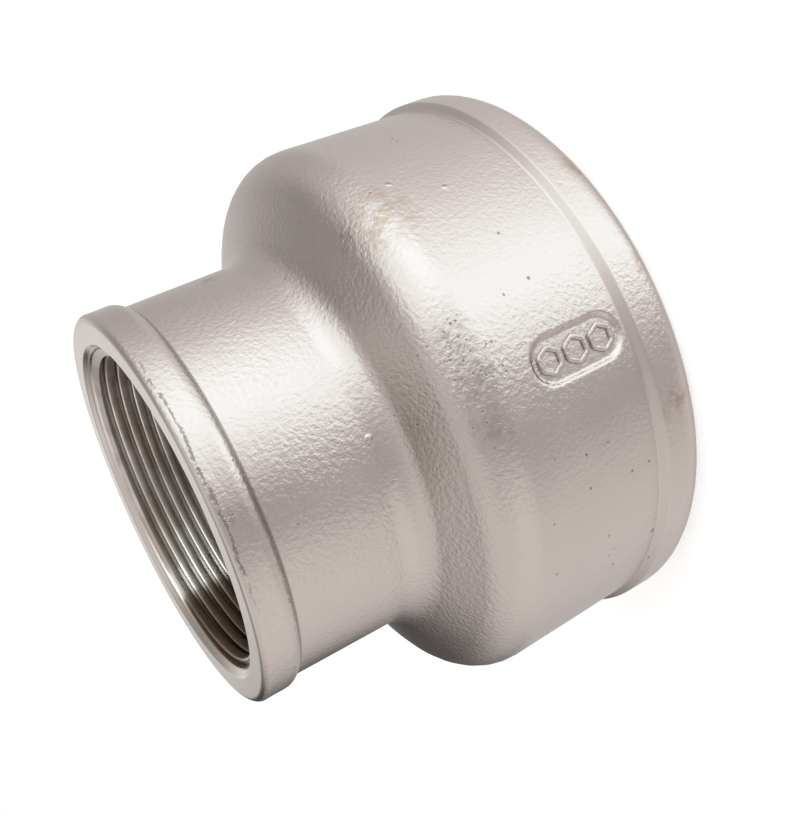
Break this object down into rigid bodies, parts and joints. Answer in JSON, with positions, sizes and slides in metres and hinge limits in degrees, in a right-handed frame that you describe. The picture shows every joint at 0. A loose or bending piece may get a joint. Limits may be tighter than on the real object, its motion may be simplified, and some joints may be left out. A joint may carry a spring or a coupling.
{
  "type": "reducing coupling",
  "caption": "Cast stainless banded reducing coupling with internal pipe threads, stepping from a wide barrel through a rounded shoulder to a narrower neck.",
  "frame": {"origin": "centre of the large end face, which the coupling stands on", "axes": "+Z along the axis from the large end to the small end; the sunk panel on the barrel faces -Y"},
  "size_m": [0.1016, 0.1016, 0.0769],
  "materials": {
    "cast_stainless": "shot-blasted satin casting"
  },
  "bodies": {
    "root": {"coupling_body": "cast_stainless"}
  },
  "joints": []
}
